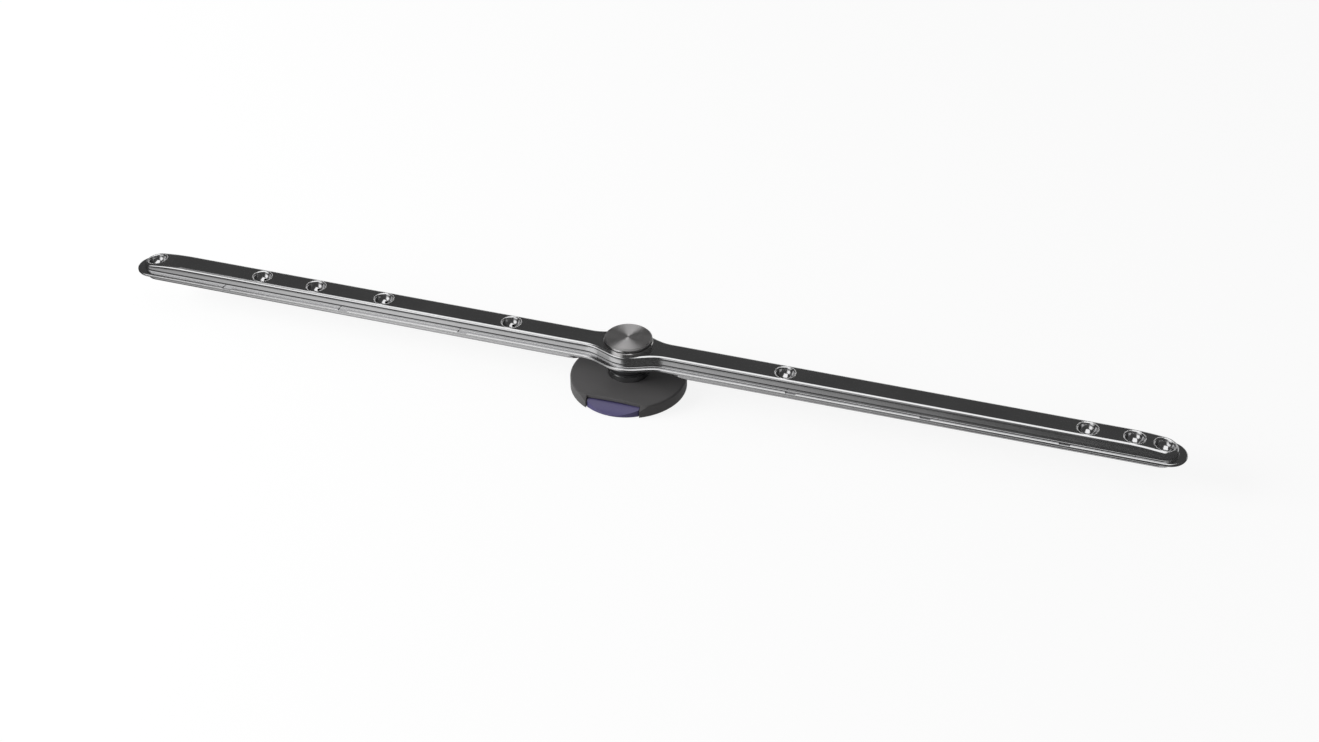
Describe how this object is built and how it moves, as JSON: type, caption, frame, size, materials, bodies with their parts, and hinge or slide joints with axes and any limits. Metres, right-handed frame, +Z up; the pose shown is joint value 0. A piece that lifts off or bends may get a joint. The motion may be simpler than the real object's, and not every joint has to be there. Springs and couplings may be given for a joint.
{
  "type": "dishwasher spray arm",
  "caption": "Long pressed steel spray arm with nozzle bowls and a folded hem, spinning on a short spindle that plugs into a feed pipe through a round base with a push-button latch.",
  "frame": {"origin": "on the arm's spin axis, at the underside of the round base", "axes": "+X along the arm, +Z up the spin axis, release button towards -Y"},
  "size_m": [0.48, 0.0511, 0.0255],
  "materials": {
    "arm_steel": "bright polished stainless sheet",
    "turned_steel": "spun stainless with fine turning rings",
    "plain_steel": "plain stainless",
    "bearing_plastic": "smooth black bearing plastic",
    "seal_rubber": "matt black rubber",
    "housing_plastic": "dark grey moulded plastic",
    "button_plastic": "satin violet-blue moulded plastic"
  },
  "bodies": {
    "base": {"housing_cover": "housing_plastic", "base_plate": "housing_plastic", "base_screws": "plain_steel", "spindle": "plain_steel", "spindle_circlip": "plain_steel", "inlet_seal": "seal_rubber", "lower_thrust_washer": "bearing_plastic", "upper_thrust_washer": "bearing_plastic", "hub_cap": "turned_steel", "return_spring": "plain_steel"},
    "arm": {"arm_upper_shell": "arm_steel", "arm_lower_shell": "arm_steel", "hub_bush": "bearing_plastic", "bush_clip": "plain_steel", "upper_bush": "bearing_plastic", "hub_ring": "turned_steel"},
    "button": {"release_button": "button_plastic"}
  },
  "joints": [
    {"name": "arm_spin", "type": "hinge", "parent": "base", "child": "arm", "pos_m": [0, 0, 0.0188], "axis": [0, 0, 1], "continuous": true},
    {"name": "button_press", "type": "slide", "parent": "base", "child": "button", "axis": [0, 1, 0], "range_m": [0, 0.0025], "stiffness_N_per_m": 900, "springref_m": -0.003, "deforming": ["return_spring"]}
  ]
}
